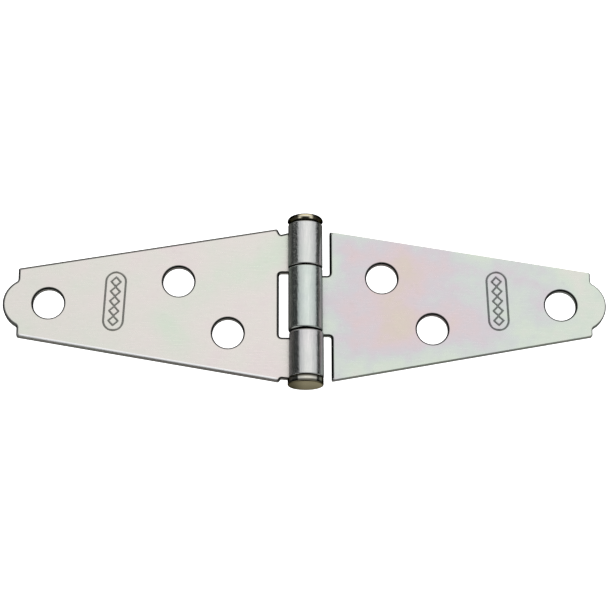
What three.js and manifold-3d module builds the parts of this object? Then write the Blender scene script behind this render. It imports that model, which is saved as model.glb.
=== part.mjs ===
// A light strap hinge: two tapered sheet-metal leaves, rolled into knuckles around one headed pin.
//
// Units are millimetres. The hinge lies open and flat on the backs of its leaves, front face up (+Z).
// The pin runs along Y, and the origin lies under the middle of the pin, at the level of the backs.
// The one-knuckle leaf points along +X and the two-knuckle leaf along -X.

import * as THREE from "three";
import { mergeVertices } from "three/addons/utils/BufferGeometryUtils.js";
import Module from "manifold-3d";

// Driving dimensions
const LEAF_LENGTH = 50.8; // from the pin's centre line to the tip of a leaf
const SHEET = 1.25; // thickness of the leaves
const PIN_RADIUS = 3.175 / 2;
const RUNNING_CLEARANCE = 0.06; // radial, between the pin and the knuckles
const HEAD_RADIUS = 3;
const BARREL_HALF = 13.42; // from the middle of the barrel to its end
const KNUCKLE_GAP = 0.2; // along the pin, between two knuckles
const HEAD_GAP = 0.05; // along the pin, between a head and the barrel
const HOLE_RADIUS = 2.6;

// Sizes that follow
const BORE_RADIUS = PIN_RADIUS + RUNNING_CLEARANCE;
const BARREL_RADIUS = BORE_RADIUS + SHEET;
const AXIS_HEIGHT = HEAD_RADIUS; // the heads rest level with the backs of the leaves

// The round lobe at the tip of a leaf, and the square shoulders that it grows from
const LOBE_RADIUS = 4.43;
const LOBE_CENTRE = LEAF_LENGTH - LOBE_RADIUS;
const SHOULDER = 48.33;
const SHOULDER_FILLET = 0.4;

// A rolled knuckle: where its free end stops above its own leaf, and where it leaves the flat sheet
const ROLL_END = THREE.MathUtils.degToRad(-28);
const ROLL_START = 2.4;
const SHEET_START = ROLL_START - 0.3; // the flat sheet runs a little into the start of the roll
const CORNER_REACH = 0.5; // of the rounded inner corners beside the other leaf's knuckles

// Facets around the barrel, the pin and each screw hole, and on the small curves
const ROUND_STEPS = 48;
const LOBE_STEPS = 28;
const CROWN_STEPS = 6;
const FILLET_STEPS = 4;

// The heads of the pin
const FLAT_HEAD_HEIGHT = 1.2;
const FLAT_HEAD_EDGE = 0.35;
const DOME_HEAD_HEIGHT = 1.33;
const DOME_HEAD_FOOT = 2.5; // radius of its underside
const DOME_HEAD_WIDEST = 0.6; // height at which it reaches its full radius
const CROWN_FLAT = 1.75; // radius of the flat on top of it

// Both leaves are described lying along +X from the pin. edgeAtPin and edgeAtTip are the half widths
// of the tapered edges, extended to the pin's centre line and met by the shoulders, first on the
// side of +Y and then on the side of -Y. knuckles are the lengths of barrel that the leaf holds.
const SEAM_HIGH = 5.67; // where the barrel's upper seam lies along the pin
const SEAM_LOW = -5.45;

const ONE_KNUCKLE = {
  edgeAtPin: [13.66, 14.04],
  edgeAtTip: [5.8, 5.33],
  holes: [[12.96, 4.68], [21.37, -4.27], [43.12, 0]],
  knuckles: [[SEAM_LOW + KNUCKLE_GAP / 2, SEAM_HIGH - KNUCKLE_GAP / 2]],
  slotDepth: [4.15, 4.38],
  tab: [-5.45, 5.15],
};

const TWO_KNUCKLE = {
  edgeAtPin: [14.15, 14.29],
  edgeAtTip: [5.74, 6.2],
  holes: [[12.97, 5.09], [21.33, -3.96], [43.12, 0]],
  knuckles: [
    [-BARREL_HALF, -SEAM_HIGH - KNUCKLE_GAP / 2],
    [-SEAM_LOW + KNUCKLE_GAP / 2, BARREL_HALF],
  ],
  slotDepth: 4.4,
  slot: [-5.65, 5.77],
  // a shallow relief notch beside each outer knuckle, as [distance from the pin, half width]
  reliefs: [
    [[SHEET_START, 13], [4.1, 12.85], [4.45, 13.38]],
    [[SHEET_START, 12.85], [4.17, 12.47], [4.72, 13.5]],
  ],
};

const wasm = await Module();
wasm.setup();

function toSolid(geometry) {
  const bare = geometry.clone();
  bare.deleteAttribute("normal");
  bare.deleteAttribute("uv");
  const merged = mergeVertices(bare, 1e-4);
  return new wasm.Manifold(new wasm.Mesh({
    numProp: 3,
    vertProperties: new Float32Array(merged.attributes.position.array),
    triVerts: new Uint32Array(merged.index.array),
  }));
}

function toGeometry(solid) {
  const mesh = solid.getMesh();
  const geometry = new THREE.BufferGeometry();
  geometry.setAttribute("position", new THREE.BufferAttribute(mesh.vertProperties, 3));
  geometry.setIndex(new THREE.BufferAttribute(mesh.triVerts, 1));
  geometry.computeVertexNormals();
  return geometry;
}

// The half width of a tapered edge at a distance from the pin. side is 0 for +Y and 1 for -Y.
function taper(leaf, side, distance) {
  return THREE.MathUtils.lerp(leaf.edgeAtPin[side], leaf.edgeAtTip[side], distance / SHOULDER);
}

// Points along an arc, from one angle to another in radians
function arc(centreX, centreY, radius, from, to, steps) {
  return Array.from({ length: steps + 1 }, (_, i) => {
    const angle = THREE.MathUtils.lerp(from, to, i / steps);
    return new THREE.Vector2(centreX + radius * Math.cos(angle), centreY + radius * Math.sin(angle));
  });
}

// A corner, rounded off between the points that lie the given reach before and after it
function rounded(before, corner, after, reach) {
  const start = new THREE.Vector2().subVectors(before, corner).setLength(reach).add(corner);
  const end = new THREE.Vector2().subVectors(after, corner).setLength(reach).add(corner);
  return new THREE.QuadraticBezierCurve(start, corner, end).getPoints(FILLET_STEPS);
}

// The outer end of a leaf, from the +Y shoulder round the lobe to the -Y shoulder
function tipPoints(leaf) {
  const halfLobe = Math.sqrt(LOBE_RADIUS ** 2 - (SHOULDER - LOBE_CENTRE) ** 2);
  const lobeAngle = Math.atan2(halfLobe, SHOULDER - LOBE_CENTRE);
  const fillets = [1, -1].map((side) => rounded(
    new THREE.Vector2(SHOULDER, side * (halfLobe + SHOULDER_FILLET)),
    new THREE.Vector2(SHOULDER, side * halfLobe),
    arc(LOBE_CENTRE, 0, LOBE_RADIUS, side * lobeAngle, 0, 1)[1],
    SHOULDER_FILLET,
  ));
  const lobe = arc(LOBE_CENTRE, 0, LOBE_RADIUS, lobeAngle, -lobeAngle, LOBE_STEPS).slice(2, -2);
  return [
    new THREE.Vector2(SHOULDER, taper(leaf, 0, SHOULDER)),
    ...fillets[0],
    ...lobe,
    ...fillets[1].reverse(),
    new THREE.Vector2(SHOULDER, -taper(leaf, 1, SHOULDER)),
  ];
}

// The flat sheet of the leaf with one tab, which becomes the middle knuckle
function oneTabOutline(leaf) {
  const [high, low] = leaf.slotDepth.map((depth, side) => (
    new THREE.Vector2(depth, (side === 0 ? 1 : -1) * taper(leaf, side, depth))
  ));
  const [tabLow, tabHigh] = leaf.tab.map((y) => new THREE.Vector2(SHEET_START, y));
  return new THREE.Shape([
    tabLow,
    tabHigh,
    ...rounded(tabHigh, new THREE.Vector2(high.x, tabHigh.y), high, CORNER_REACH),
    high,
    ...tipPoints(leaf),
    low,
    ...rounded(low, new THREE.Vector2(low.x, tabLow.y), tabLow, CORNER_REACH),
  ]);
}

// The flat sheet of the leaf with two tabs, which become the outer knuckles
function twoTabOutline(leaf) {
  const [slotLow, slotHigh] = leaf.slot.map((y) => new THREE.Vector2(SHEET_START, y));
  const innerLow = new THREE.Vector2(leaf.slotDepth, slotLow.y);
  const innerHigh = new THREE.Vector2(leaf.slotDepth, slotHigh.y);
  const [reliefHigh, reliefLow] = leaf.reliefs.map((notch, side) => (
    notch.map(([x, halfWidth]) => new THREE.Vector2(x, (side === 0 ? 1 : -1) * halfWidth))
  ));
  return new THREE.Shape([
    slotHigh,
    ...reliefHigh,
    ...tipPoints(leaf),
    ...reliefLow.reverse(),
    slotLow,
    ...rounded(slotLow, innerLow, innerHigh, CORNER_REACH),
    ...rounded(innerLow, innerHigh, slotHigh, CORNER_REACH),
  ]);
}

function flatSheet(outline, leaf) {
  outline.holes = leaf.holes.map(([x, y]) => (
    new THREE.Path(arc(x, y, HOLE_RADIUS, 0, 2 * Math.PI, ROUND_STEPS).slice(1))
  ));
  return toSolid(new THREE.ExtrudeGeometry(outline, { depth: SHEET, bevelEnabled: false }));
}

// The section of a knuckle: a short lead off the leaf, then the sheet rolled round the bore.
// The roll goes from its lowest point round the far side and back over the top.
function knuckleSection() {
  const from = -Math.PI / 2;
  const to = ROLL_END - 2 * Math.PI;
  return new THREE.Shape([
    new THREE.Vector2(ROLL_START, 0),
    ...arc(0, AXIS_HEIGHT, BARREL_RADIUS, from, to, ROUND_STEPS),
    ...arc(0, AXIS_HEIGHT, BORE_RADIUS, to, from, ROUND_STEPS),
    new THREE.Vector2(ROLL_START, SHEET),
  ]);
}

function knuckle([from, to]) {
  const geometry = new THREE.ExtrudeGeometry(knuckleSection(), { depth: to - from, bevelEnabled: false });
  geometry.rotateX(Math.PI / 2);
  geometry.translate(0, to, 0);
  return toSolid(geometry);
}

function leafGeometry(outline, leaf) {
  let solid = flatSheet(outline, leaf);
  for (const span of leaf.knuckles) solid = solid.add(knuckle(span));
  return toGeometry(solid);
}

// Half of the pin's outline, from its flat riveted end, along the shank, to its domed head
function pinProfile() {
  const shankEnd = BARREL_HALF + HEAD_GAP;
  const flatEnd = -shankEnd - FLAT_HEAD_HEIGHT;
  const widest = shankEnd + DOME_HEAD_WIDEST;
  const foot = arc(0, 0, 1, -Math.PI / 2, 0, CROWN_STEPS).map(({ x, y }) => new THREE.Vector2(
    DOME_HEAD_FOOT + (HEAD_RADIUS - DOME_HEAD_FOOT) * x,
    widest + DOME_HEAD_WIDEST * y,
  ));
  const crown = arc(0, 0, 1, 0, Math.PI / 2, CROWN_STEPS).map(({ x, y }) => new THREE.Vector2(
    CROWN_FLAT + (HEAD_RADIUS - CROWN_FLAT) * x,
    widest + (DOME_HEAD_HEIGHT - DOME_HEAD_WIDEST) * y,
  ));
  return [
    new THREE.Vector2(0, flatEnd),
    ...arc(
      HEAD_RADIUS - FLAT_HEAD_EDGE, flatEnd + FLAT_HEAD_EDGE, FLAT_HEAD_EDGE, -Math.PI / 2, 0, FILLET_STEPS,
    ),
    new THREE.Vector2(HEAD_RADIUS, -shankEnd),
    new THREE.Vector2(PIN_RADIUS, -shankEnd),
    new THREE.Vector2(PIN_RADIUS, shankEnd),
    ...foot,
    ...crown.slice(1),
    new THREE.Vector2(0, shankEnd + DOME_HEAD_HEIGHT),
  ];
}

const zincSheet = { color: 0xd3d3cf, roughness: 0.35, metalness: 0.9 };
const zincPin = { color: 0xb9bab2, roughness: 0.3, metalness: 0.95 };

const oneKnuckleLeaf = new THREE.Mesh(
  leafGeometry(oneTabOutline(ONE_KNUCKLE), ONE_KNUCKLE),
  new THREE.MeshStandardMaterial(zincSheet),
);
oneKnuckleLeaf.name = "one_knuckle_leaf";

const twoKnuckleLeaf = new THREE.Mesh(
  leafGeometry(twoTabOutline(TWO_KNUCKLE), TWO_KNUCKLE),
  new THREE.MeshStandardMaterial(zincSheet),
);
twoKnuckleLeaf.name = "two_knuckle_leaf";
twoKnuckleLeaf.rotation.z = Math.PI;

const hingePin = new THREE.Mesh(
  new THREE.LatheGeometry(pinProfile(), ROUND_STEPS),
  new THREE.MeshStandardMaterial(zincPin),
);
hingePin.name = "hinge_pin";
hingePin.position.z = AXIS_HEIGHT;

const hinge = new THREE.Group();
hinge.add(oneKnuckleLeaf, twoKnuckleLeaf, hingePin);

export default hinge;
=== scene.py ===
"""A light strap hinge: two zinc-plated sheet leaves, curled into knuckles around one headed pin."""

import math

import bpy
import numpy as np
from mathutils import Matrix, Vector
from mathutils.geometry import delaunay_2d_cdt


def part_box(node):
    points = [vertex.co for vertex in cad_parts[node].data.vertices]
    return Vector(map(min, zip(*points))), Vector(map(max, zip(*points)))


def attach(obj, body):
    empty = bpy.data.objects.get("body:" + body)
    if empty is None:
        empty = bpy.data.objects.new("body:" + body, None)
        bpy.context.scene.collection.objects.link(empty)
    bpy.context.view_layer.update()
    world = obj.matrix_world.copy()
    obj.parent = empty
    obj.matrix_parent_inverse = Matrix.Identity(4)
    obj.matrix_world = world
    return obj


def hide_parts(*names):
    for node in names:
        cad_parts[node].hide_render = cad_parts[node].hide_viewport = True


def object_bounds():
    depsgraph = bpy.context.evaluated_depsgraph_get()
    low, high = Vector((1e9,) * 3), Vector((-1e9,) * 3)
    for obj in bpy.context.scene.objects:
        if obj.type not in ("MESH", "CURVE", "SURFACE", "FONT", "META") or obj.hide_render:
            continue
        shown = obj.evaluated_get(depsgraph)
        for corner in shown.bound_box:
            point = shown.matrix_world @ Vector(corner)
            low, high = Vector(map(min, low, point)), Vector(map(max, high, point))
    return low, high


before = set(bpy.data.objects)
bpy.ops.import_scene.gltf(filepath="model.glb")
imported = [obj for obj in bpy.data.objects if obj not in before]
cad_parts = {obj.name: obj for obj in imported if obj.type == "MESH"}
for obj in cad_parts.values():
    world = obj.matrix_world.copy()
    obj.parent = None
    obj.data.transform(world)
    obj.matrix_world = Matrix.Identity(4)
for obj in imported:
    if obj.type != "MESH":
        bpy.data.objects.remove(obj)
cad_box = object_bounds()

# All shapes are worked out in millimetres in the row frame and turned into metres when a mesh is made.
MM = 0.001
LEAF_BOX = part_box("one_knuckle_leaf")
PIN_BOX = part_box("hinge_pin")

# ---------------------------------------------------------------- driving dimensions, mm
LEAF_LENGTH = LEAF_BOX[1].x / MM
AXIS_HEIGHT = (PIN_BOX[0].z + PIN_BOX[1].z) / 2 / MM
HEAD_RADIUS = PIN_BOX[1].x / MM
PIN_LOW = PIN_BOX[0].y / MM
PIN_HIGH = PIN_BOX[1].y / MM
SHEET = 1.25  # thickness of both leaves
PIN_RADIUS = 3.175 / 2
RUNNING_CLEARANCE = 0.06
BORE_RADIUS = PIN_RADIUS + RUNNING_CLEARANCE
BARREL_RADIUS = BORE_RADIUS + SHEET
BARREL_HALF = 13.42  # from the middle of the barrel to its end
SHANK_HALF = 13.47  # from the middle of the barrel to the underside of a head
SEAM_HIGH = 5.67  # where the barrel's two seams lie along the pin
SEAM_LOW = -5.45
SEAM_HALF = 0.1  # half the gap between two knuckles
HOLE_RADIUS = 2.6
LOBE_RADIUS = 4.43  # of the round lobe at a leaf's tip
LOBE_CENTRE = LEAF_LENGTH - LOBE_RADIUS
SHOULDER = 48.33  # where a leaf's tapered edges end
SHOULDER_FILLET = 0.4
ROLL_START = 2.4  # where a leaf leaves the flat, on its way into the roll
ROLL_TURN = math.radians(298)
NEUTRAL_RADIUS = (BORE_RADIUS + BARREL_RADIUS) / 2
ROLL_ARC = NEUTRAL_RADIUS * ROLL_TURN  # length of sheet in a knuckle

# Widths of the rounded edges left by blanking and piercing
BACK_ROLL = 0.04
KNUCKLE_ROLL = 0.18
LOW_SEAM_ROLL = 0.3
BARREL_END_ROLL = 0.22
KNUCKLE_BORE_ROLL = 0.05
SLOT_ROLL = 0.45
SLOT_ROLL_DROP = 0.22  # how much narrower it is on the walls that face -Y
LOBE_ROLL = 0.28
HOLE_ROLL = 0.3
ROLL_DEPTH = 1.3  # how deep the die roll goes, as a multiple of its width
DEEPEST_ROLL = 0.34

# Spacing of the points in the meshes
EDGE_STEP = 0.2
HOLE_STEPS = 96
GRID_STEP = 0.55
GRID_START = 0.3  # where the square grid begins, past the curled part's own
CURL_STEPS = (0.16, 0.9)  # round the roll and along the pin
CURL_END = 0.2
EDGE_CLEARANCE = 0.16
GUARD = 0.05  # width of the flat strip that ends an edge
FILM_STEP = 0.4  # along the rim that the film's thickness is measured from
MARK_STEP = 0.12
MARK_FINE_STEP = 0.03
MARK_OFFSETS = (0, 0.05, 0.1, 0.15, 0.2, 0.28)  # of the rows of points beside a stamped line
MARK_CELL = 0.045
CHUNK = 2000  # points handled at a time

# ---------------------------------------------------------------- outlines, in the flat blank
# a runs along the leaf from the pin's centre line, and below zero round the knuckle; v runs along the pin.


# How far from a corner its rounding starts
CRISP = 0.25
SHARP = 0.3
SOFT = 0.5

LOBE_STEPS = 56
LOBE_TRIM = 3  # points left out at each end of the lobe, for the fillets
NECK_START = 0.6  # where a tab narrows from the knuckle's width to its own
OUTER_NECK_START = 0.7
NECK_END = 2.6

# The one-knuckle leaf, low side first: the half widths of its tapered edges, at the pin's centre line
# and at the shoulder, how far the gaps beside its tab reach in, and the sides of the tab
ONE_EDGES = ((14.04, 5.33), (13.66, 5.8))
ONE_GAPS = (4.38, 4.15)
ONE_TAB = (-5.45, 5.15)
ONE_HOLES = [(12.96, 4.68), (21.37, -4.27), (43.12, 0)]

# The two-knuckle leaf, low side first: its half widths at the shoulder, the relief notches beside the
# barrel as (a, v, reach), how far its slot reaches in, and the slot's sides
TWO_TIPS = (6.2, 5.74)
LOW_RELIEF = [(2.7, -12.85, SOFT), (4.17, -12.47, CRISP), (4.72, -13.5, CRISP)]
HIGH_RELIEF = [(4.45, 13.38, CRISP), (4.1, 12.85, 0.2), (2.7, 13.0, SOFT)]
TWO_SLOT_DEPTH = 4.4
TWO_SLOT = (-5.65, 5.77)
TWO_HOLES = [(12.97, 5.09), (21.33, -3.96), (43.12, 0)]


def arc(centre, radius, start, end, steps):
    """Points on an arc, both ends included."""
    angles = np.linspace(start, end, steps + 1)
    return [(centre[0] + radius * math.cos(t), centre[1] + radius * math.sin(t)) for t in angles]


def rounded(before, corner, after, reach, steps=5):
    """A corner, rounded off between the points that lie the given reach before and after it."""
    corner = np.array(corner, float)
    start, end = (corner + reach * (np.array(p) - corner) / math.dist(p, corner) for p in (before, after))
    return [
        tuple((1 - t) ** 2 * start + 2 * t * (1 - t) * corner + t**2 * end)
        for t in np.linspace(0, 1, steps + 1)
    ]


def rounded_path(points):
    """A closed outline from (a, v, reach) corners. A reach of 0 leaves the corner as it is."""
    out = []
    for i, (a, v, reach) in enumerate(points):
        before = points[i - 1][:2]
        after = points[(i + 1) % len(points)][:2]
        out += rounded(before, (a, v), after, reach) if reach else [(a, v)]
    return out


def tip(edge_low, edge_high):
    """From the low shoulder round the lobe to the high shoulder, as (a, v, reach) corners."""
    half = math.sqrt(LOBE_RADIUS**2 - (SHOULDER - LOBE_CENTRE) ** 2)
    angle = math.atan2(half, SHOULDER - LOBE_CENTRE)
    lobe = arc((LOBE_CENTRE, 0), LOBE_RADIUS, -angle, angle, LOBE_STEPS)[LOBE_TRIM:-LOBE_TRIM]
    return [
        (SHOULDER, -edge_low, CRISP),
        (SHOULDER, -half, SHOULDER_FILLET),
        *[(a, v, 0) for a, v in lobe],
        (SHOULDER, half, SHOULDER_FILLET),
        (SHOULDER, edge_high, CRISP),
    ]


def edge_at(at_pin, at_tip, a):
    """Half width of a tapered edge at a distance from the pin."""
    return at_pin + (at_tip - at_pin) * a / SHOULDER


def one_knuckle_outline():
    (pin_low, tip_low), (pin_high, tip_high) = ONE_EDGES
    gap_low, gap_high = ONE_GAPS
    tab_low, tab_high = ONE_TAB
    knuckle_low, knuckle_high = SEAM_LOW + SEAM_HALF, SEAM_HIGH - SEAM_HALF
    return rounded_path([
        (-ROLL_ARC, knuckle_low, SHARP),
        (NECK_START, knuckle_low, SOFT),
        (NECK_END, tab_low, SOFT),
        (gap_low, tab_low, SOFT),
        (gap_low, -edge_at(pin_low, tip_low, gap_low), SHARP),
        *tip(tip_low, tip_high),
        (gap_high, edge_at(pin_high, tip_high, gap_high), SHARP),
        (gap_high, tab_high, SOFT),
        (NECK_END, tab_high, SOFT),
        (NECK_START, knuckle_high, SOFT),
        (-ROLL_ARC, knuckle_high, SHARP),
    ])


def two_knuckle_outline():
    slot_low, slot_high = TWO_SLOT
    inner_low, inner_high = -SEAM_HIGH - SEAM_HALF, -SEAM_LOW + SEAM_HALF
    return rounded_path([
        (-ROLL_ARC, -BARREL_HALF, SHARP),
        (OUTER_NECK_START, -BARREL_HALF, SOFT),
        *LOW_RELIEF,
        *tip(*TWO_TIPS),
        *HIGH_RELIEF,
        (OUTER_NECK_START, BARREL_HALF, SOFT),
        (-ROLL_ARC, BARREL_HALF, SHARP),
        (-ROLL_ARC, inner_high, SHARP),
        (NECK_START, inner_high, SOFT),
        (NECK_END, slot_high, SOFT),
        (TWO_SLOT_DEPTH, slot_high, SOFT),
        (TWO_SLOT_DEPTH, slot_low, SOFT),
        (NECK_END, slot_low, SOFT),
        (NECK_START, inner_low, SOFT),
        (-ROLL_ARC, inner_low, SHARP),
    ])


# ---------------------------------------------------------------- the stamped mark
MARK_LENGTH = 10.2
MARK_WIDTH = 3.3
MARK_LINE = 0.16  # half width of a stamped line
MARK_FLOOR = MARK_LINE * 0.3  # half width of its flat bottom
MARK_LIP = MARK_LINE * 1.1
MARK_DEPTH = 0.2
DIAMONDS = 5
DIAMOND_PITCH = 1.72
DIAMOND_HALF = DIAMOND_PITCH * 0.47
MARK_ARC_STEPS = 24
# Where the mark's middle lies in each blank, and how far it is turned
ONE_MARK = ((32.45, 0.7), math.radians(2))
TWO_MARK = ((32.05, -0.4), math.radians(-3))


def mark_strokes(centre, turn):
    """A plain round-ended frame with a chain of diamonds in it, as closed lines."""
    radius = MARK_WIDTH / 2
    straight = MARK_LENGTH / 2 - radius
    top = arc((0, straight), radius, 0, math.pi, MARK_ARC_STEPS)
    bottom = arc((0, -straight), radius, math.pi, 2 * math.pi, MARK_ARC_STEPS)
    strokes = [top + bottom]
    for i in range(DIAMONDS):
        middle = (i - (DIAMONDS - 1) / 2) * DIAMOND_PITCH
        half = DIAMOND_HALF
        strokes.append([(half, middle), (0, middle + half), (-half, middle), (0, middle - half)])
    rotation = np.array([[math.cos(turn), -math.sin(turn)], [math.sin(turn), math.cos(turn)]])
    return [np.array(s) @ rotation.T + np.array(centre) for s in strokes]


# ---------------------------------------------------------------- plane geometry helpers


def resample(points, step):
    """The closed line with extra points, so that no stretch is longer than the step."""
    out = []
    for i, p in enumerate(points):
        q = points[(i + 1) % len(points)]
        pieces = max(1, math.ceil(math.dist(p, q) / step))
        out += [(p[0] + (q[0] - p[0]) * k / pieces, p[1] + (q[1] - p[1]) * k / pieces) for k in range(pieces)]
    return np.array(out)


def inward(points):
    """Mitred inward direction at each point of an anticlockwise closed line."""
    ahead = np.roll(points, -1, axis=0) - points
    ahead /= np.linalg.norm(ahead, axis=1)[:, None]
    behind = np.roll(ahead, 1, axis=0)
    normal_ahead = np.stack([-ahead[:, 1], ahead[:, 0]], axis=1)
    normal_behind = np.stack([-behind[:, 1], behind[:, 0]], axis=1)
    middle = normal_ahead + normal_behind
    middle /= np.linalg.norm(middle, axis=1)[:, None]
    return middle / np.maximum((middle * normal_ahead).sum(1), 0.5)[:, None]


def nearest(points, targets):
    """Distance from each point to the nearest target."""
    out = np.empty(len(points))
    for i in range(0, len(points), CHUNK):
        part = points[i:i + CHUNK]
        out[i:i + CHUNK] = np.sqrt(((part[:, None, :] - targets[None, :, :]) ** 2).sum(2).min(1))
    return out


def inside(points, loop):
    """Whether each point lies inside a closed line."""
    x0, y0 = loop[:, 0], loop[:, 1]
    x1, y1 = np.roll(x0, -1), np.roll(y0, -1)
    out = np.zeros(len(points), bool)
    for i in range(0, len(points), CHUNK):
        px, py = points[i:i + CHUNK, 0][:, None], points[i:i + CHUNK, 1][:, None]
        crosses = (y0 > py) != (y1 > py)
        with np.errstate(divide="ignore", invalid="ignore"):
            at = x0 + (py - y0) * (x1 - x0) / (y1 - y0)
        out[i:i + CHUNK] = (crosses & (px < at)).sum(1) % 2 == 1
    return out


def ease(low, high, x):
    """0 below low, 1 above high, and a smooth step between them."""
    t = np.clip((x - low) / (high - low), 0, 1)
    return t * t * (3 - 2 * t)


# ---------------------------------------------------------------- the curled leaves

# Heights up the cut wall, as a share of it, and how rough and bare the metal is there
WALL_ROWS = ((0.12, 1), (0.3, 1), (0.42, 0.5), (0.6, 0.25), (0.9, 0.2))
# Angles round the die roll, from the wall to the face, with how bare a free edge is there, which also
# paints a dark shade line along it, how dark a hole or slot edge is painted as shade, for its thin
# dark lines, and how strong a painted highlight a free edge has
ROLL_ROWS = (
    (0, 0.6, 1, 0), (15, 0.8, 1, 0), (30, 0.8, 1, 0), (45, 0.5, 1, 0.3),
    (58, 0.1, 1, 0.9), (70, 0, 0.95, 1), (80, 0, 0.8, 1), (90, 0, 0.2, 1),
)
BACK_ANGLES = (0, 30, 60, 90)
BACK_BARE = 0.3
# How strong the painted shade is along the knuckles' edges and round the lobe
KNUCKLE_EDGE_SHADE = 0.95
LOBE_EDGE_SHADE = 0.8
# Strength of the painted highlight on the strip beside a free rim
RIM_PAINTED_HIGHLIGHT = 0.9
RIM_SHARE = 0.3  # of the guard strip that carries the painted highlight too

# Distances from the pin over which one kind of edge gives way to the next
KNUCKLE_FADE = (0.5, 2.5)
SLOT_FADE = (4.4, 5.0)
LOBE_FADE = (SHOULDER - 0.8, SHOULDER)
LEAN_FADE = (-2, 0)


def groove_depth(points, strokes):
    """How deep the stamped lines are at each point, from 0 to 1."""
    if not strokes:
        return np.zeros(len(points))
    lines = np.concatenate([resample(list(map(tuple, s)), MARK_FINE_STEP) for s in strokes])
    centre = lines.mean(0)
    depth = np.zeros(len(points))
    near = np.linalg.norm(points - centre, axis=1) < MARK_LENGTH
    if near.any():
        depth[near] = 1 - ease(MARK_FLOOR, MARK_LIP, nearest(points[near], lines))
    return depth


def interior_points(loops, strokes):
    """Points that the flat faces are triangulated through."""
    outline = loops[0]
    low, high = outline.min(0), outline.max(0)
    flat = np.mgrid[GRID_START:high[0]:GRID_STEP, low[1]:high[1]:GRID_STEP].reshape(2, -1).T
    curled = np.mgrid[low[0]:CURL_END:CURL_STEPS[0], low[1]:high[1]:CURL_STEPS[1]].reshape(2, -1).T
    fine = []
    for stroke in strokes:
        line = resample(list(map(tuple, stroke)), MARK_STEP)
        normals = inward(line)
        for offset in MARK_OFFSETS:
            for side in (-1, 1):
                fine.append(line + side * offset * normals)
    kept = np.empty((0, 2))
    boundary = np.concatenate(loops)
    if fine:
        marks = np.concatenate(fine)
        _cells, first = np.unique(np.round(marks / MARK_CELL).astype(int), axis=0, return_index=True)
        kept = marks[np.sort(first)]
    grid = np.concatenate([flat, curled])
    if len(kept):
        grid = grid[nearest(grid, kept) > GRID_STEP * 0.5]
    grid = grid[inside(grid, outline) & (nearest(grid, boundary) > EDGE_CLEARANCE)]
    for hole in loops[1:]:
        grid = grid[~inside(grid, hole)]
    return np.concatenate([kept, grid]) if len(kept) else grid


def triangulate(loops, extra):
    """Triangles between the closed lines and through the extra points, as indices into lines then points."""
    points = np.concatenate([*loops, extra])
    edges, start = [], 0
    for loop in loops:
        count = len(loop)
        edges += [(start + i, start + (i + 1) % count) for i in range(count)]
        start += count
    result = delaunay_2d_cdt([Vector(p) for p in points], edges, [], 0, 1e-6, True)
    placed, triangles, origins = np.array([tuple(p) for p in result[0]]), result[2], result[3]
    source = [o[0] if o else -1 for o in origins]
    centres = np.array([placed[list(t)].mean(0) for t in triangles])
    good = inside(centres, loops[0])
    for hole in loops[1:]:
        good &= ~inside(centres, hole)
    corners = [tuple(source[i] for i in t) for t, is_good in zip(triangles, good) if is_good]
    return [t for t in corners if min(t) >= 0]


def outline_edges(loop, direction, edge_roll, up, painted_long_edge_shade):
    """Widths of the rounded back and front edges, how much painted shade, and how curled, at each point."""
    a, v = loop.T
    curled = 1 - ease(*KNUCKLE_FADE, a)
    slot = 1 - ease(*SLOT_FADE, a)
    lobe = LOBE_EDGE_SHADE * ease(*LOBE_FADE, a)
    upper = painted_long_edge_shade * (v * up > 0)
    slot_roll = SLOT_ROLL - SLOT_ROLL_DROP * np.clip(direction[:, 1] * up, 0, 1)
    front = np.maximum(edge_roll + (slot_roll - edge_roll) * slot, LOBE_ROLL * lobe)
    front = front + (KNUCKLE_BORE_ROLL - front) * curled
    knuckle_roll = np.where(v * up > 0, KNUCKLE_ROLL, LOW_SEAM_ROLL)
    knuckle_roll = np.where(np.abs(v) > BARREL_HALF - 1, BARREL_END_ROLL, knuckle_roll)
    back = BACK_ROLL + (knuckle_roll - BACK_ROLL) * curled
    return back, front, np.max([slot, lobe, upper], axis=0), curled


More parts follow.
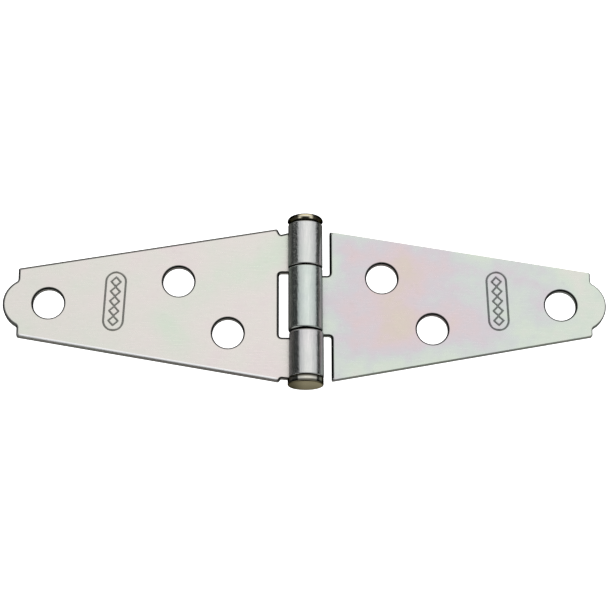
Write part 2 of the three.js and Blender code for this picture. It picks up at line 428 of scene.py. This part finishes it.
def sheet_body(outline, holes, strokes, edge_roll, up, painted_long_edge_shade):
    """The solid blank: its points as (a, v, w), its faces, and how bare each point is, and how much painted
    shade and painted highlight it has.

    up is the way along v that ends up as +Y. painted_long_edge_shade is how dark the long edge on that
    side is painted, as shade.
    """
    points, looks, faces = [], [], []
    rings = {"front": [], "back": []}

    def strip(loop, direction, back, front, pierced, curled):
        """The walls of one closed line. pierced is 1 where their edges get painted shade, and curled is 1 on
        a knuckle.
        """
        depth = np.minimum(front * ROLL_DEPTH, DEEPEST_ROLL)
        wall = SHEET - depth - back
        rows = [(back + GUARD, 0 * back, 0, 0, 0)]
        for t in np.radians(BACK_ANGLES):
            painted_edge_shade = KNUCKLE_EDGE_SHADE * math.sin(t) * curled
            rows.append((back * (1 - math.sin(t)), back * (1 - math.cos(t)), BACK_BARE, painted_edge_shade, 0))
        for share, bare in WALL_ROWS:
            rows.append((0 * back, back + wall * share, bare, KNUCKLE_EDGE_SHADE * curled, 0))
        for degrees, bare, painted_edge_shade, painted_highlight in ROLL_ROWS:
            t = math.radians(degrees)
            inset, height = front * (1 - math.cos(t)), SHEET - depth * (1 - math.sin(t))
            rows.append((inset, height, bare, painted_edge_shade * np.maximum(pierced, curled), painted_highlight * (1 - pierced)))
        rows.append((front + GUARD * RIM_SHARE, SHEET + 0 * back, 0, 0, RIM_PAINTED_HIGHLIGHT * (1 - pierced)))
        rows.append((front + GUARD, SHEET + 0 * back, 0, 0, 0))
        count = len(loop)
        first = len(points)
        for inset, height, *look in rows:
            ring = loop + direction * np.asarray(inset)[:, None]
            points.extend((p[0], p[1], h) for p, h in zip(ring, height))
            looks.extend(np.stack([np.broadcast_to(part, count) for part in look], axis=1))
        for r in range(len(rows) - 1):
            for i in range(count):
                j = (i + 1) % count
                a, b = first + r * count, first + (r + 1) * count
                faces.append((a + i, a + j, b + j, b + i))
        rings["back"].append((first, count))
        rings["front"].append((first + (len(rows) - 1) * count, count))

    loop = resample(outline, EDGE_STEP)
    direction = inward(loop)
    strip(loop, direction, *outline_edges(loop, direction, edge_roll, up, painted_long_edge_shade))
    for centre in holes:
        circle = np.array(arc(centre, HOLE_RADIUS, 2 * math.pi, 0, HOLE_STEPS)[:-1])
        same = np.ones(len(circle))
        strip(circle, inward(circle), BACK_ROLL * same, HOLE_ROLL * same, same, 0 * same)

    for side, height in (("back", 0.0), ("front", SHEET)):
        loops = [np.array([points[s + i][:2] for i in range(n)]) for s, n in rings[side]]
        marks = strokes if side == "front" else []
        extra = interior_points(loops, marks)
        lookup = [s + i for s, n in rings[side] for i in range(n)]
        lookup += list(range(len(points), len(points) + len(extra)))
        depth = groove_depth(extra, marks) * MARK_DEPTH
        points.extend((p[0], p[1], height - d) for p, d in zip(extra, depth))
        looks.extend(np.zeros((len(extra), 3)))
        for t in triangulate(loops, extra):
            corners = tuple(lookup[i] for i in t)
            faces.append(corners if side == "front" else corners[::-1])
    return np.array(points), np.array(looks, float), faces


def curl(blank, lean):
    """Bends the blank's tabs round the pin. lean shifts the outside of the high knuckle along the leaf."""
    a, v, w = blank.T
    lift = AXIS_HEIGHT - BARREL_RADIUS
    turn = np.maximum(-a, 0) / NEUTRAL_RADIUS
    radius = BARREL_RADIUS - w
    rolled = a < 0
    x = np.where(rolled, -radius * np.sin(turn), a)
    z = np.where(rolled, AXIS_HEIGHT - radius * np.cos(turn), w + lift * (1 - ease(0, ROLL_START, a)))
    outside = np.clip((SHEET - w) / SHEET, 0, 1)
    x = x + lean * (v > 0) * outside * (1 - ease(*LEAN_FADE, a))
    return np.stack([x, v, z], axis=1)


def mesh_object(name, points, faces, attributes):
    """A smooth mesh from points in millimetres, with a value or a vector at each point per attribute."""
    data = bpy.data.meshes.new(name)
    data.from_pydata([tuple(p) for p in np.asarray(points) * MM], [], faces)
    data.validate()
    for key, values in attributes.items():
        vector = values.ndim == 2
        layer = data.attributes.new(key, "FLOAT_VECTOR" if vector else "FLOAT", "POINT")
        layer.data.foreach_set("vector" if vector else "value", values.astype(np.float32).ravel())
    data.shade_smooth()
    data.update()
    obj = bpy.data.objects.new(name, data)
    bpy.context.scene.collection.objects.link(obj)
    return obj


RECESS_RISE = (0.2, 0.62)  # heights above the pin's centre between which it ends, in barrel radii
RECESS_RIGHT = 0.93  # how strong it is on the side of +X


def painted_recess_shade(shape):
    """How far a point lies down beside the barrel, where the colour is darkened as painted shade."""
    rise = (shape[:, 2] - AXIS_HEIGHT) / BARREL_RADIUS
    return (1 - ease(*RECESS_RISE, rise)) * np.where(shape[:, 0] > 0, RECESS_RIGHT, 1.0)


def make_leaf(name, outline, holes, mark, lean, edge_roll, painted_long_edge_shade, film, mirrored):
    """Cuts, stamps and curls one leaf. A mirrored leaf points along -X, with its high side towards -Y."""
    strokes = mark_strokes(*mark)
    blank, looks, faces = sheet_body(outline, holes, strokes, edge_roll, -1 if mirrored else 1, painted_long_edge_shade)
    shape = curl(blank, lean)
    if mirrored:
        shape = shape * np.array([-1, -1, 1])
    curled = 1 - ease(0, ROLL_START, blank[:, 0])
    return mesh_object(name, shape, faces, {
        "blank_mm": blank,
        "film": film(blank, resample(outline, FILM_STEP)),
        "cut": looks[:, 0],
        "painted_edge_shade": looks[:, 1],
        "painted_highlight": looks[:, 2],
        "groove": groove_depth(blank[:, :2], strokes) * (blank[:, 2] > SHEET / 2),
        "curled": curled,
        "painted_recess_shade": curled * painted_recess_shade(shape),
    })


def tinted_film(blank, rim):
    """Thickness of the passivate on the one-knuckle leaf: thin at the rim, thickest between two holes."""
    a, v = blank[:, 0], blank[:, 1]
    from_rim = ease(-0.3, 5.6, nearest(blank[:, :2], rim) + 1.8 * ease(0, 5, v))
    along = ease(-2, 8, a) * (1 - 0.42 * ease(20, 44, a))  # builds up past the knuckle, then thins again
    straw_band = 0.19 * np.exp(-((a - 15.5) / 4.2) ** 2)
    bare_tip = 1 - 0.75 * ease(40, 47, a)
    return (0.17 + from_rim * (0.33 * along + straw_band)) * bare_tip


# Where the clear passivate of the two-knuckle leaf has a green bloom: a soft line of points in the blank
BLOOM_LINE = [(3.5, -10.5), (8, -6.9), (14.5, -4), (20, -1), (23, 2.2), (21, 6.5)]
BLOOM_WIDTH = 3.2


def clear_film(blank, _rim):
    """Thickness of the passivate on the two-knuckle leaf: even, but for the green bloom and the outer end."""
    line = np.concatenate([np.linspace(p, q, 20) for p, q in zip(BLOOM_LINE, BLOOM_LINE[1:])])
    bloom = np.exp(-(nearest(blank[:, :2], line) / BLOOM_WIDTH) ** 2)
    a = blank[:, 0]
    return 0.72 - 0.16 * ease(20, 45, a) - 0.34 * bloom


# ---------------------------------------------------------------- the pin


def pin_profile():
    """Half of the pin's outline as (radius, distance along the pin), from its flat end to its domed head."""
    edge = 0.18
    widest = SHANK_HALF + 0.56
    crown = 2.2
    crown_drop = 0.03
    flat = [(r, PIN_LOW) for r in (0.6, 1.2, 1.8, 2.2, 2.46, 2.56, 2.68)]
    flat += [
        (HEAD_RADIUS - edge + edge * math.sin(t), PIN_LOW + edge - edge * math.cos(t))
        for t in np.linspace(0, math.pi / 2, 9)
    ]
    side = [(HEAD_RADIUS, y) for y in (PIN_LOW + 0.3, PIN_LOW + 0.5)]
    side += [(HEAD_RADIUS, -SHANK_HALF - gap) for gap in (0.6, 0.45, 0.32, 0.2, 0.1)]
    side += [(HEAD_RADIUS - 0.03, -SHANK_HALF - 0.03), (HEAD_RADIUS - 0.08, -SHANK_HALF)]
    shank = [(PIN_RADIUS, -SHANK_HALF), (PIN_RADIUS, 0), (PIN_RADIUS, SHANK_HALF)]
    foot = [(2.38, SHANK_HALF), (2.4, SHANK_HALF + 0.005), (2.43, SHANK_HALF + 0.04)]
    foot += [(2.7, SHANK_HALF + 0.28), (2.9, SHANK_HALF + 0.46), (2.96, SHANK_HALF + 0.52)]
    foot += [(HEAD_RADIUS, widest)]
    top = PIN_HIGH - crown_drop
    dome = [
        (crown + (HEAD_RADIUS - crown) * math.cos(t), widest + (top - widest) * math.sin(t))
        for t in np.linspace(0, math.pi / 2, 12)[1:]
    ]
    cap = [(r, PIN_HIGH - crown_drop * (r / crown) ** 2) for r in (1.6, 1.0, 0.5)]
    return flat + side + shank + foot + dome + cap


def make_pin():
    """The profile turned round the pin's centre line."""
    segments = 128
    profile = pin_profile()
    points, faces = [(0, PIN_LOW, AXIS_HEIGHT)], []
    for radius, y in profile:
        for i in range(segments):
            t = 2 * math.pi * i / segments
            points.append((radius * math.cos(t), y, AXIS_HEIGHT + radius * math.sin(t)))
    points.append((0, PIN_HIGH, AXIS_HEIGHT))
    last = len(points) - 1
    for i in range(segments):
        j = (i + 1) % segments
        faces.append((0, 1 + i, 1 + j))
        for r in range(len(profile) - 1):
            a, b = 1 + r * segments, 1 + (r + 1) * segments
            faces.append((a + i, b + i, b + j, a + j))
        a = 1 + (len(profile) - 1) * segments
        faces.append((a + i, last, a + j))
    shape = np.array(points)
    return mesh_object("pin", shape, faces, {
        "blank_mm": shape,
        "shade": head_shade(shape),
        "straw": head_straw(shape[:, 1]),
    })


def head_straw(y):
    """How straw-coloured the pin is: most on its flat end, some on the domed half, hardly elsewhere."""
    return np.where(y < PIN_LOW + 0.1, 1.0, np.where(y > 0, 0.45, 0.05))


def head_shade(shape):
    """How dark the heads are: in the gap below each head, on its sides, and round the rim of its end.

    It is painted after the shading in the photo, so it stays in place under any other light.
    """
    x, y, height = shape.T
    radius = np.hypot(x, height - AXIS_HEIGHT)
    rise = (height - AXIS_HEIGHT) / np.maximum(radius, 0.1)
    dome_side = (y > 0) * (1 - ease(0.88, 0.96, rise)) * ease(1.6, 2.1, radius)
    above_gap = ease(SHANK_HALF + 0.3, SHANK_HALF + 0.46, y)
    dome_gap = 0.85 * ease(SHANK_HALF - 0.1, SHANK_HALF, y) * (1 - above_gap)
    crown_rim = ease(PIN_HIGH - 0.42, PIN_HIGH - 0.22, y) * ease(1.9, 2.3, radius)
    flat_side = (y < 0) * (y > PIN_LOW + 0.1) * (1 - ease(0.35, 0.8, rise))
    flat_gap = (y < 0) * ease(-SHANK_HALF - 0.6, -SHANK_HALF - 0.08, y)
    near_end = 1 - ease(PIN_LOW + 0.4, PIN_LOW + 0.6, y)
    flat_rim = 0.9 * (y < 0) * near_end * ease(HEAD_RADIUS - 0.2, HEAD_RADIUS - 0.1, radius)
    end_rim = 0.45 * (y < PIN_LOW + 0.14) * ease(HEAD_RADIUS - 0.4, HEAD_RADIUS - 0.2, radius)
    end_left = 0.6 - 0.6 * ease(-2.8, 0.0, x)
    end_foot = 0.25 - 0.25 * ease(-2.5, 1.5, height - AXIS_HEIGHT)
    end_face = (y < PIN_LOW + 0.1) * (end_left + end_foot)
    return np.max([dome_side, dome_gap, crown_rim, flat_side, flat_gap, flat_rim, end_rim, end_face], axis=0)


# ---------------------------------------------------------------- materials


class Nodes:
    """A few words for building node trees."""

    def __init__(self, tree):
        self.tree = tree

    def add(self, kind, inputs=(), **settings):
        node = self.tree.nodes.new(kind)
        for key, value in settings.items():
            setattr(node, key, value)
        for key, value in dict(inputs).items():
            socket = node.inputs[key]
            if isinstance(value, bpy.types.NodeSocket):
                self.tree.links.new(value, socket)
            else:
                socket.default_value = value
        return node

    def maths(self, operation, a, b=0.0, c=0.0, clamp=False):
        return self.add("ShaderNodeMath", {0: a, 1: b, 2: c}, operation=operation, use_clamp=clamp).outputs[0]

    def vector(self, operation, a, b):
        return self.add("ShaderNodeVectorMath", {0: a, 1: b}, operation=operation).outputs[0]

    def attribute(self, name, output="Fac"):
        return self.add("ShaderNodeAttribute", attribute_name=name).outputs[output]

    def noise(self, vector, scale, detail, roughness):
        inputs = {"Vector": vector, "Scale": scale, "Detail": detail, "Roughness": roughness}
        return self.add("ShaderNodeTexNoise", inputs).outputs["Fac"]

    def spread(self, value, low, high, out_low=0.0, out_high=1.0):
        return self.add(
            "ShaderNodeMapRange",
            {"Value": value, "From Min": low, "From Max": high, "To Min": out_low, "To Max": out_high},
            interpolation_type="SMOOTHSTEP",
        ).outputs[0]

    def mix(self, factor, a, b):
        node = self.add("ShaderNodeMix", data_type="RGBA")
        for socket, value in zip((node.inputs[0], node.inputs[6], node.inputs[7]), (factor, a, b)):
            if isinstance(value, bpy.types.NodeSocket):
                self.tree.links.new(value, socket)
            else:
                socket.default_value = value
        return node.outputs[2]

    def ramp(self, value, stops):
        node = self.add("ShaderNodeValToRGB", {"Fac": value})
        elements = node.color_ramp.elements
        while len(elements) < len(stops):
            elements.new(0.5)
        for element, (position, colour) in zip(elements, stops):
            element.position = position
            element.color = colour
        return node.outputs[0]


def linear(red, green, blue):
    """An sRGB colour of 0 to 255 as linear light, for colours that aren't nearly black."""
    return (*(((c / 255 + 0.055) / 1.055) ** 2.4 for c in (red, green, blue)), 1)


# The tints of the passivate, in the order that its thickness brings them, as (thickness, colour)
TINTED = [
    (0.0, linear(222, 222, 214)), (0.16, linear(214, 223, 211)), (0.3, linear(211, 216, 213)),
    (0.43, linear(214, 208, 213)), (0.6, linear(221, 205, 208)), (0.76, linear(220, 206, 198)),
    (1.0, linear(221, 212, 195)),
]
CLEAR = [
    (0.0, linear(212, 227, 208)), (0.3, linear(218, 226, 212)), (0.52, linear(225, 224, 216)),
    (0.72, linear(229, 223, 218)), (1.0, linear(230, 216, 218)),
]

# How far the passivate's thickness drifts, in broad waves and in patches
BROAD_DRIFT = 0.7
PATCH_DRIFT = 0.6

# How deep the bumps in the plate are
SHEET_RELIEF = 0.02 * MM
WIRE_RELIEF = 0.03 * MM

# Colours of what shows over or in place of the passivate
CURLED_STREAKS = [(0.3, linear(190, 199, 203)), (0.5, linear(209, 218, 217)), (0.7, linear(227, 231, 232))]
# painted shade down beside the barrel
PAINTED_RECESS_SHADE = linear(46, 48, 43)
GRAIN = linear(186, 188, 184)
SPOT = linear(178, 180, 176)
# bare cut walls, and painted shade on the edges' rounded rims
CUT = linear(70, 72, 72)
# painted shade in the stamped grooves
PAINTED_GROOVE_SHADE = linear(70, 76, 74)
# painted shade: the thin dark lines along edges and between the knuckles
PAINTED_EDGE_SHADE = linear(38, 40, 38)
WHITE = (1, 1, 1, 1)

# Colours of the pin, its painted shade, and how little the painted-shade parts mirror at a glance
WIRE_CLOUDS = [(0.3, linear(214, 212, 200)), (0.5, linear(230, 228, 218)), (0.7, linear(240, 239, 232))]
WIRE_MARK = linear(120, 120, 110)
STRAW = linear(222, 208, 158)
PAINTED_HEAD_SHADE = linear(52, 49, 38)
DARK_GLANCE = (0.3, 0.29, 0.25, 1)
SHEET_GLANCE = (0.68, 0.68, 0.68, 1)


def new_material(name):
    """A material, the words for building its nodes, and its shader."""
    material = bpy.data.materials.new(name)
    material.use_nodes = True
    nodes = Nodes(material.node_tree)
    shader = material.node_tree.nodes["Principled BSDF"]
    return material, nodes, shader


def sheet_material(name, seed, tints, bare_edge_and_shade, painted_highlight):
    """Bright zinc plate on sheet steel, under a passivate that shows its tints, with painted shade and
    highlights.

    seed moves the patterns, so that the leaves differ. bare_edge_and_shade is how dark the cut edges are,
    bare on their walls and painted shade on their rounded rims, and painted_highlight how strong the
    painted highlight on the rims is, both from 0 to 1.
    """
    material, nodes, shader = new_material(name)
    shader.inputs["Metallic"].default_value = 1.0
    shader.inputs["Specular Tint"].default_value = SHEET_GLANCE
    place = nodes.vector("ADD", nodes.attribute("blank_mm", "Vector"), (seed, seed * 0.7, seed * 1.3))
    cut = nodes.attribute("cut")
    curled = nodes.attribute("curled")

    broad = nodes.noise(place, 0.1, 2.0, 0.5)
    patches = nodes.noise(place, 0.26, 4.0, 0.62)
    depth = nodes.maths("ADD", nodes.attribute("film"), -BROAD_DRIFT / 2)
    depth = nodes.maths("MULTIPLY_ADD", broad, BROAD_DRIFT, depth)
    depth = nodes.maths("ADD", depth, -PATCH_DRIFT / 2)
    depth = nodes.maths("MULTIPLY_ADD", patches, PATCH_DRIFT, depth, clamp=True)
    colour = nodes.ramp(depth, tints)

    streaks = nodes.noise(nodes.vector("MULTIPLY", place, (4.0, 0.4, 0)), 0.8, 5.0, 0.7)
    rolled = nodes.ramp(streaks, CURLED_STREAKS)
    colour = nodes.mix(nodes.maths("MULTIPLY", curled, 0.5), colour, rolled)
    # painted shade: darkens the barrel's sides, down beside it
    colour = nodes.mix(nodes.attribute("painted_recess_shade"), colour, PAINTED_RECESS_SHADE)

    grain = nodes.noise(nodes.vector("MULTIPLY", place, (0.4, 3.0, 1)), 1.1, 4.0, 0.6)
    spots = nodes.noise(place, 1.6, 5.0, 0.65)
    colour = nodes.mix(nodes.spread(grain, 0.4, 0.75, 0.0, 0.05), colour, GRAIN)
    colour = nodes.mix(nodes.spread(spots, 0.6, 0.78, 0.0, 0.12), colour, SPOT)
    # bare cut walls, with painted shade on the rounded rims of the edges
    colour = nodes.mix(nodes.maths("MULTIPLY", cut, bare_edge_and_shade), colour, CUT)
    # painted shade: the stamped grooves are darkened
    colour = nodes.mix(nodes.maths("MULTIPLY", nodes.attribute("groove"), 0.7), colour, PAINTED_GROOVE_SHADE)
    # painted highlight: the rims' colour is lifted towards white
    colour = nodes.mix(nodes.maths("MULTIPLY", nodes.attribute("painted_highlight"), painted_highlight), colour, WHITE)
    # painted shade: thin dark lines along the holes, slot, lobe, one long edge and between the knuckles
    colour = nodes.mix(nodes.attribute("painted_edge_shade"), colour, PAINTED_EDGE_SHADE)
    nodes.tree.links.new(colour, shader.inputs["Base Color"])

    rough = nodes.maths("MULTIPLY_ADD", grain, 0.08, 0.24)
    rough = nodes.maths("MULTIPLY_ADD", curled, -0.12, rough)
    rough = nodes.maths("ADD", rough, nodes.spread(spots, 0.5, 0.8, 0.0, 0.08))
    rough = nodes.maths("MULTIPLY_ADD", cut, 0.1, rough)
    nodes.tree.links.new(rough, shader.inputs["Roughness"])

    shear = nodes.noise(nodes.vector("MULTIPLY", place, (4.0, 4.0, 0.6)), 1.2, 3.0, 0.6)
    height = nodes.maths("MULTIPLY", spots, nodes.maths("MULTIPLY_ADD", curled, 2.6, 0.35))
    height = nodes.maths("MULTIPLY_ADD", nodes.maths("MULTIPLY", streaks, curled), 2.2, height)
    height = nodes.maths("MULTIPLY_ADD", nodes.maths("MULTIPLY", shear, cut), 3.0, height)
    bump = nodes.add("ShaderNodeBump", {"Strength": 0.5, "Distance": SHEET_RELIEF, "Height": height})
    nodes.tree.links.new(bump.outputs[0], shader.inputs["Normal"])
    return material


def pin_material():
    """Zinc plate on a cold-headed wire, with a straw film, and olive-brown painted shade on its heads."""
    material, nodes, shader = new_material("zinc_plated_wire")
    shader.inputs["Metallic"].default_value = 1.0
    shade = nodes.attribute("shade")
    glance = nodes.mix(shade, WHITE, DARK_GLANCE)
    nodes.tree.links.new(glance, shader.inputs["Specular Tint"])
    place = nodes.attribute("blank_mm", "Vector")
    cloudy = nodes.noise(place, 0.5, 4.0, 0.6)
    colour = nodes.ramp(cloudy, WIRE_CLOUDS)
    marks = nodes.noise(place, 2.2, 5.0, 0.7)
    colour = nodes.mix(nodes.spread(marks, 0.55, 0.75, 0.0, 0.35), colour, WIRE_MARK)
    colour = nodes.mix(nodes.attribute("straw"), colour, STRAW)
    # painted shade on the heads, where the shade attribute places it
    colour = nodes.mix(shade, colour, PAINTED_HEAD_SHADE)
    nodes.tree.links.new(colour, shader.inputs["Base Color"])
    rough = nodes.maths("MULTIPLY_ADD", marks, 0.1, 0.1)
    nodes.tree.links.new(rough, shader.inputs["Roughness"])
    bump = nodes.add("ShaderNodeBump", {"Strength": 0.4, "Distance": WIRE_RELIEF, "Height": cloudy})
    nodes.tree.links.new(bump.outputs[0], shader.inputs["Normal"])
    return material


# ---------------------------------------------------------------- the hinge

one_leaf = make_leaf(
    "one_knuckle_leaf_sheet", one_knuckle_outline(), ONE_HOLES, ONE_MARK,
    lean=0.0, edge_roll=0.1, painted_long_edge_shade=0.0, film=tinted_film, mirrored=False,
)
two_leaf = make_leaf(
    "two_knuckle_leaf_sheet", two_knuckle_outline(), TWO_HOLES, TWO_MARK,
    lean=-0.15, edge_roll=0.42, painted_long_edge_shade=0.9, film=clear_film, mirrored=True,
)
pin = make_pin()
one_leaf.data.materials.append(
    sheet_material("zinc_plate_tinted", seed=17.0, tints=TINTED, bare_edge_and_shade=0.4, painted_highlight=0.0)
)
two_leaf.data.materials.append(
    sheet_material("zinc_plate_clear", seed=53.0, tints=CLEAR, bare_edge_and_shade=0.85, painted_highlight=1.0)
)
pin.data.materials.append(pin_material())

for piece, node, body, slot in (
    (one_leaf, "one_knuckle_leaf", "one_knuckle_side", "zinc_sheet"),
    (two_leaf, "two_knuckle_leaf", "two_knuckle_side", "zinc_sheet"),
    (pin, "hinge_pin", "two_knuckle_side", "zinc_pin"),
):
    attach(piece, body)
    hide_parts(node)

# ---------------------------------------------------------------- floor and soft studio light
FLOOR_DROP = 60 * MM
FLOOR_HALF = 3.0
FLOOR_PALE = (0.9, 0.9, 0.9, 1)
FLOOR_GLOW = 0.95


def make_floor():
    """A plain pale floor, far below the hinge, which its metal doesn't mirror."""
    low = cad_box[0][2] - FLOOR_DROP
    corners = [(x * FLOOR_HALF, y * FLOOR_HALF, low) for x, y in ((-1, -1), (1, -1), (1, 1), (-1, 1))]
    data = bpy.data.meshes.new("floor")
    data.from_pydata(corners, [], [(0, 1, 2, 3)])
    floor = bpy.data.objects.new("floor", data)
    bpy.context.scene.collection.objects.link(floor)
    material, _nodes, shader = new_material("pale_floor")
    shader.inputs["Base Color"].default_value = FLOOR_PALE
    shader.inputs["Roughness"].default_value = 1.0
    shader.inputs["Specular IOR Level"].default_value = 0.0
    shader.inputs["Emission Color"].default_value = WHITE
    shader.inputs["Emission Strength"].default_value = FLOOR_GLOW
    data.materials.append(material)
    floor.visible_glossy = False
    floor.visible_diffuse = False
    floor.visible_shadow = False


DOME_TILT = (math.radians(11.5), math.radians(28))  # how far the dome's middle leans towards +X and +Y
DOME_SPREAD = (math.radians(58), math.radians(70))  # its half angle along X and along Y
DOME_EDGE = (0.96, 1.04)  # where the dome ends, as a share of its spread
DOME_FALLOFF = (0.1, 1.0)  # from its white middle to its duller rim
DOME_WHITE = (1.04, 1.04, 1.04, 1)
DOME_RIM = (0.64, 0.65, 0.67, 1)
DOME_WARM = (1.05, 0.96, 0.78, 1)  # its far end, which the domed head mirrors

# The rest of the studio, by the parts of the direction's unit vector: each range is where one thing
# gives way to the next
WARM_RANGE = (0.75, 1.0)
NADIR_RANGE = (0.05, 0.85)
DIM = (0.028, 0.03, 0.03, 1)
NADIR = (0.27, 0.268, 0.25, 1)
STRIP_HEIGHT = (0.06, 0.14)
STRIP_WIDTH = (-0.97, -0.9)
PANEL_TOP = (0.5, 0.65)
NEAR_FOOT = (-0.5, -0.35)
FAR_FOOT = (-0.06, 0.04)
NEAR_SIDES = (0.4, 0.75)
FAR_SIDES = (0.64, 0.86)
NEAR_PANEL = (1.15, 1.15, 1.14, 1)
FAR_PANEL = (0.9, 0.9, 0.89, 1)
FRONT_STRIP = (0.24, 0.24, 0.23, 1)


def dome_share(nodes, direction):
    """How far out in the dome a direction lies: 0 in its middle and 1 at its rim."""
    axis = Vector((math.tan(DOME_TILT[0]), math.tan(DOME_TILT[1]), 1)).normalized()
    across = Vector((1, 0, 0)).cross(axis).cross(axis).normalized() * -1
    along = axis.cross(across)

    def towards(vector):
        node = nodes.add("ShaderNodeVectorMath", {0: direction, 1: vector}, operation="DOT_PRODUCT")
        return node.outputs["Value"]

    def squared(value):
        return nodes.maths("MULTIPLY", value, value)

    facing = towards(axis)
    angle = nodes.maths("ARCCOSINE", facing)
    away = nodes.maths("MAXIMUM", nodes.maths("SUBTRACT", 1.0, squared(facing)), 1e-5)
    stretch = nodes.maths("DIVIDE", angle, nodes.maths("SQRT", away))
    reach = [
        squared(nodes.maths("DIVIDE", nodes.maths("MULTIPLY", stretch, towards(v)), spread))
        for v, spread in ((across, DOME_SPREAD[0]), (along, DOME_SPREAD[1]))
    ]
    return nodes.maths("SQRT", nodes.maths("ADD", reach[0], reach[1]))


def surroundings(nodes, x, y, z):
    """Dim sides and a dull floor, with panels at the four corners and a low strip in front."""
    below = nodes.spread(nodes.maths("MULTIPLY", z, -1.0), *NADIR_RANGE)
    light = nodes.mix(below, DIM, NADIR)
    below_top = nodes.spread(z, *PANEL_TOP, 1.0, 0.0)
    near_band = nodes.maths("MULTIPLY", nodes.spread(z, *NEAR_FOOT), below_top)
    far_band = nodes.maths("MULTIPLY", nodes.spread(z, *FAR_FOOT), below_top)
    diagonal = nodes.maths("MULTIPLY", nodes.maths("ABSOLUTE", x), nodes.maths("MULTIPLY", y, 2.0))
    near = nodes.spread(nodes.maths("MULTIPLY", diagonal, -1.0), *NEAR_SIDES)
    far = nodes.spread(diagonal, *FAR_SIDES)
    light = nodes.mix(nodes.maths("MULTIPLY", near, near_band), light, NEAR_PANEL)
    light = nodes.mix(nodes.maths("MULTIPLY", far, far_band), light, FAR_PANEL)
    level = nodes.spread(nodes.maths("ABSOLUTE", z), *STRIP_HEIGHT, 1.0, 0.0)
    front = nodes.maths("MULTIPLY", nodes.spread(y, *STRIP_WIDTH, 1.0, 0.0), level)
    return nodes.mix(front, light, FRONT_STRIP)


def make_world():
    """A broad soft white dome that leans over the far side of the hinge, over dim surroundings."""
    world = bpy.data.worlds.new("studio")
    world.use_nodes = True
    bpy.context.scene.world = world
    nodes = Nodes(world.node_tree)
    background = world.node_tree.nodes["Background"]
    direction = nodes.add("ShaderNodeTexCoord").outputs["Generated"]
    x, y, z = nodes.add("ShaderNodeSeparateXYZ", {0: direction}).outputs
    rim = dome_share(nodes, direction)
    white = nodes.mix(nodes.spread(rim, *DOME_FALLOFF), DOME_WHITE, DOME_RIM)
    white = nodes.mix(nodes.spread(y, *WARM_RANGE), white, DOME_WARM)
    dome = nodes.spread(rim, *DOME_EDGE, 1.0, 0.0)
    light = nodes.mix(dome, surroundings(nodes, x, y, z), white)
    camera_ray = nodes.add("ShaderNodeLightPath").outputs["Is Camera Ray"]
    nodes.tree.links.new(nodes.mix(camera_ray, light, WHITE), background.inputs["Color"])
    background.inputs["Strength"].default_value = 1.0


make_floor()
make_world()
bpy.context.scene.view_settings.view_transform = "Standard"

# ---------------------------------------------------------------- camera
CAMERA_DISTANCE = 350.0  # from the middle of the leaves' front faces
CAMERA_TILT = math.radians(17.764)  # down from +Z towards -Y
CAMERA_TURN = math.radians(1.28)
CAMERA_ROLL = math.radians(0.139)
CAMERA_ASIDE = (-0.2, 0.04)  # to the right and up
LENS = 123.19
SENSOR = 36.0


def make_camera():
    """Looks at the hinge from above and from the side of the pin's flat head."""
    back = Vector((
        -math.sin(CAMERA_TURN) * math.cos(CAMERA_TILT),
        -math.sin(CAMERA_TILT),
        math.cos(CAMERA_TURN) * math.cos(CAMERA_TILT),
    ))
    up = (Vector((0, 1, 0)) - back * back.y).normalized()
    right = up.cross(back)
    turned_right = right * math.cos(CAMERA_ROLL) - up * math.sin(CAMERA_ROLL)
    turned_up = right * math.sin(CAMERA_ROLL) + up * math.cos(CAMERA_ROLL)
    place = Vector((0, 0, SHEET)) + back * CAMERA_DISTANCE
    place += turned_right * CAMERA_ASIDE[0] + turned_up * CAMERA_ASIDE[1]
    data = bpy.data.cameras.new("camera")
    data.sensor_width = SENSOR
    data.lens = LENS
    data.clip_start = 0.01
    camera = bpy.data.objects.new("camera", data)
    bpy.context.scene.collection.objects.link(camera)
    rotation = Matrix((turned_right, turned_up, back)).transposed().to_4x4()
    camera.matrix_world = Matrix.Translation(place * MM) @ rotation
    bpy.context.scene.camera = camera


make_camera()
